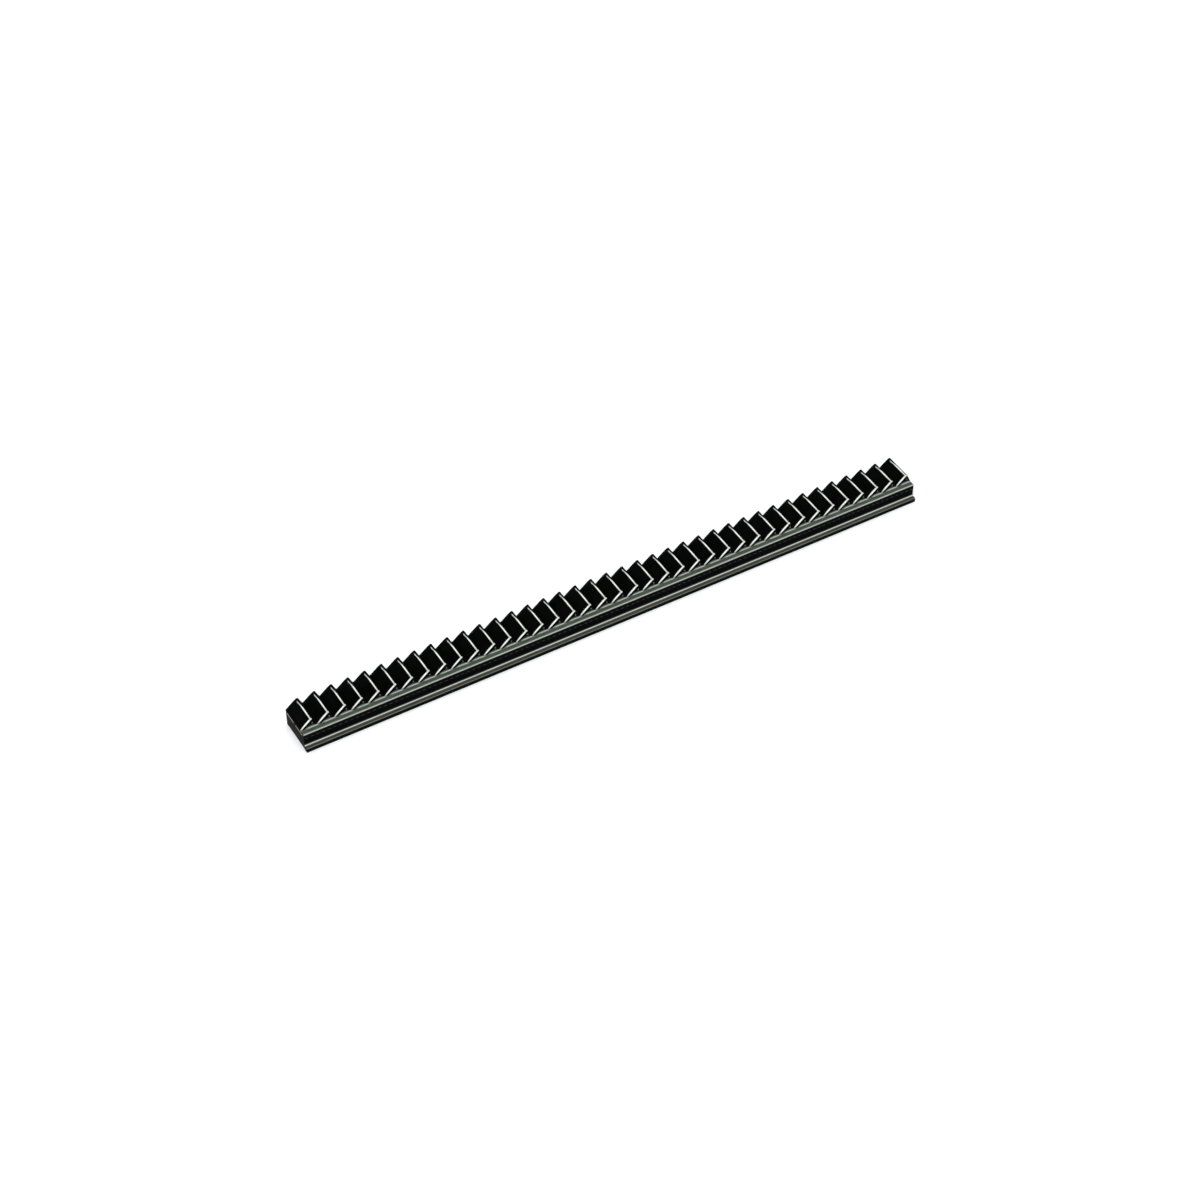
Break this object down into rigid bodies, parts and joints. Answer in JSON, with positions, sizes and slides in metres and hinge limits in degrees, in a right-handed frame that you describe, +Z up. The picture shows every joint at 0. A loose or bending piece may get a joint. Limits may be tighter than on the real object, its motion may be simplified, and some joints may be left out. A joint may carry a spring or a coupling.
{
  "type": "rubber crawler track",
  "caption": "Straight open length of narrow rubber crawler track: base stepped on one side, sawtooth lugs over steel cores, steel cord plies; bends upward.",
  "frame": {"origin": "middle of the ground face, at the middle of the length", "axes": "+X along the track, towards the steep flanks of the lugs; +Y across it, towards the flush side; +Z up, from the ground face to the lugs"},
  "size_m": [2.34, 0.1466, 0.1005],
  "materials": {
    "rubber": "moulded black rubber, satin, dusty on the upward ledges",
    "core_steel": "forged steel, dull",
    "cord_steel": "brass-plated stranded steel wire skimmed with rubber"
  },
  "bodies": {
    "section_01": {"rubber_section_01": "rubber", "core_bar_01": "core_steel", "core_bar_02": "core_steel", "core_bar_03": "core_steel"},
    "section_02": {"rubber_section_02": "rubber", "core_bar_04": "core_steel", "core_bar_05": "core_steel", "core_bar_06": "core_steel"},
    "section_03": {"rubber_section_03": "rubber", "core_bar_07": "core_steel", "core_bar_08": "core_steel", "core_bar_09": "core_steel"},
    "section_04": {"rubber_section_04": "rubber", "core_bar_10": "core_steel", "core_bar_11": "core_steel", "core_bar_12": "core_steel"},
    "section_05": {"rubber_section_05": "rubber", "core_bar_13": "core_steel", "core_bar_14": "core_steel", "core_bar_15": "core_steel"},
    "section_06": {"rubber_section_06": "rubber", "core_bar_16": "core_steel", "core_bar_17": "core_steel", "core_bar_18": "core_steel"},
    "section_07": {"rubber_section_07": "rubber", "core_bar_19": "core_steel", "core_bar_20": "core_steel", "core_bar_21": "core_steel", "steel_cord_ply_right": "cord_steel", "steel_cord_ply_left": "cord_steel"},
    "section_08": {"rubber_section_08": "rubber", "core_bar_22": "core_steel", "core_bar_23": "core_steel", "core_bar_24": "core_steel"},
    "section_09": {"rubber_section_09": "rubber", "core_bar_25": "core_steel", "core_bar_26": "core_steel", "core_bar_27": "core_steel"},
    "section_10": {"rubber_section_10": "rubber", "core_bar_28": "core_steel", "core_bar_29": "core_steel", "core_bar_30": "core_steel"},
    "section_11": {"rubber_section_11": "rubber", "core_bar_31": "core_steel", "core_bar_32": "core_steel", "core_bar_33": "core_steel"},
    "section_12": {"rubber_section_12": "rubber", "core_bar_34": "core_steel", "core_bar_35": "core_steel", "core_bar_36": "core_steel"},
    "section_13": {"rubber_section_13": "rubber", "core_bar_37": "core_steel", "core_bar_38": "core_steel", "core_bar_39": "core_steel"}
  },
  "joints": [
    {"name": "flex_01_02", "type": "hinge", "parent": "section_02", "child": "section_01", "pos_m": [-0.99, 0, 0.059], "axis": [0, 1, 0], "range_deg": [0, 27], "stiffness_Nm_per_rad": 40, "deforming": ["steel_cord_ply_right", "steel_cord_ply_left"]},
    {"name": "flex_02_03", "type": "hinge", "parent": "section_03", "child": "section_02", "pos_m": [-0.81, 0, 0.059], "axis": [0, 1, 0], "range_deg": [0, 27], "stiffness_Nm_per_rad": 40, "deforming": ["steel_cord_ply_right", "steel_cord_ply_left"]},
    {"name": "flex_03_04", "type": "hinge", "parent": "section_04", "child": "section_03", "pos_m": [-0.63, 0, 0.059], "axis": [0, 1, 0], "range_deg": [0, 27], "stiffness_Nm_per_rad": 40, "deforming": ["steel_cord_ply_right", "steel_cord_ply_left"]},
    {"name": "flex_04_05", "type": "hinge", "parent": "section_05", "child": "section_04", "pos_m": [-0.45, 0, 0.059], "axis": [0, 1, 0], "range_deg": [0, 27], "stiffness_Nm_per_rad": 40, "deforming": ["steel_cord_ply_right", "steel_cord_ply_left"]},
    {"name": "flex_05_06", "type": "hinge", "parent": "section_06", "child": "section_05", "pos_m": [-0.27, 0, 0.059], "axis": [0, 1, 0], "range_deg": [0, 27], "stiffness_Nm_per_rad": 40, "deforming": ["steel_cord_ply_right", "steel_cord_ply_left"]},
    {"name": "flex_06_07", "type": "hinge", "parent": "section_07", "child": "section_06", "pos_m": [-0.09, 0, 0.059], "axis": [0, 1, 0], "range_deg": [0, 27], "stiffness_Nm_per_rad": 40, "deforming": ["steel_cord_ply_right", "steel_cord_ply_left"]},
    {"name": "flex_07_08", "type": "hinge", "parent": "section_07", "child": "section_08", "pos_m": [0.09, 0, 0.059], "axis": [0, -1, 0], "range_deg": [0, 27], "stiffness_Nm_per_rad": 40, "deforming": ["steel_cord_ply_right", "steel_cord_ply_left"]},
    {"name": "flex_08_09", "type": "hinge", "parent": "section_08", "child": "section_09", "pos_m": [0.27, 0, 0.059], "axis": [0, -1, 0], "range_deg": [0, 27], "stiffness_Nm_per_rad": 40, "deforming": ["steel_cord_ply_right", "steel_cord_ply_left"]},
    {"name": "flex_09_10", "type": "hinge", "parent": "section_09", "child": "section_10", "pos_m": [0.45, 0, 0.059], "axis": [0, -1, 0], "range_deg": [0, 27], "stiffness_Nm_per_rad": 40, "deforming": ["steel_cord_ply_right", "steel_cord_ply_left"]},
    {"name": "flex_10_11", "type": "hinge", "parent": "section_10", "child": "section_11", "pos_m": [0.63, 0, 0.059], "axis": [0, -1, 0], "range_deg": [0, 27], "stiffness_Nm_per_rad": 40, "deforming": ["steel_cord_ply_right", "steel_cord_ply_left"]},
    {"name": "flex_11_12", "type": "hinge", "parent": "section_11", "child": "section_12", "pos_m": [0.81, 0, 0.059], "axis": [0, -1, 0], "range_deg": [0, 27], "stiffness_Nm_per_rad": 40, "deforming": ["steel_cord_ply_right", "steel_cord_ply_left"]},
    {"name": "flex_12_13", "type": "hinge", "parent": "section_12", "child": "section_13", "pos_m": [0.99, 0, 0.059], "axis": [0, -1, 0], "range_deg": [0, 27], "stiffness_Nm_per_rad": 40, "deforming": ["steel_cord_ply_right", "steel_cord_ply_left"]}
  ]
}
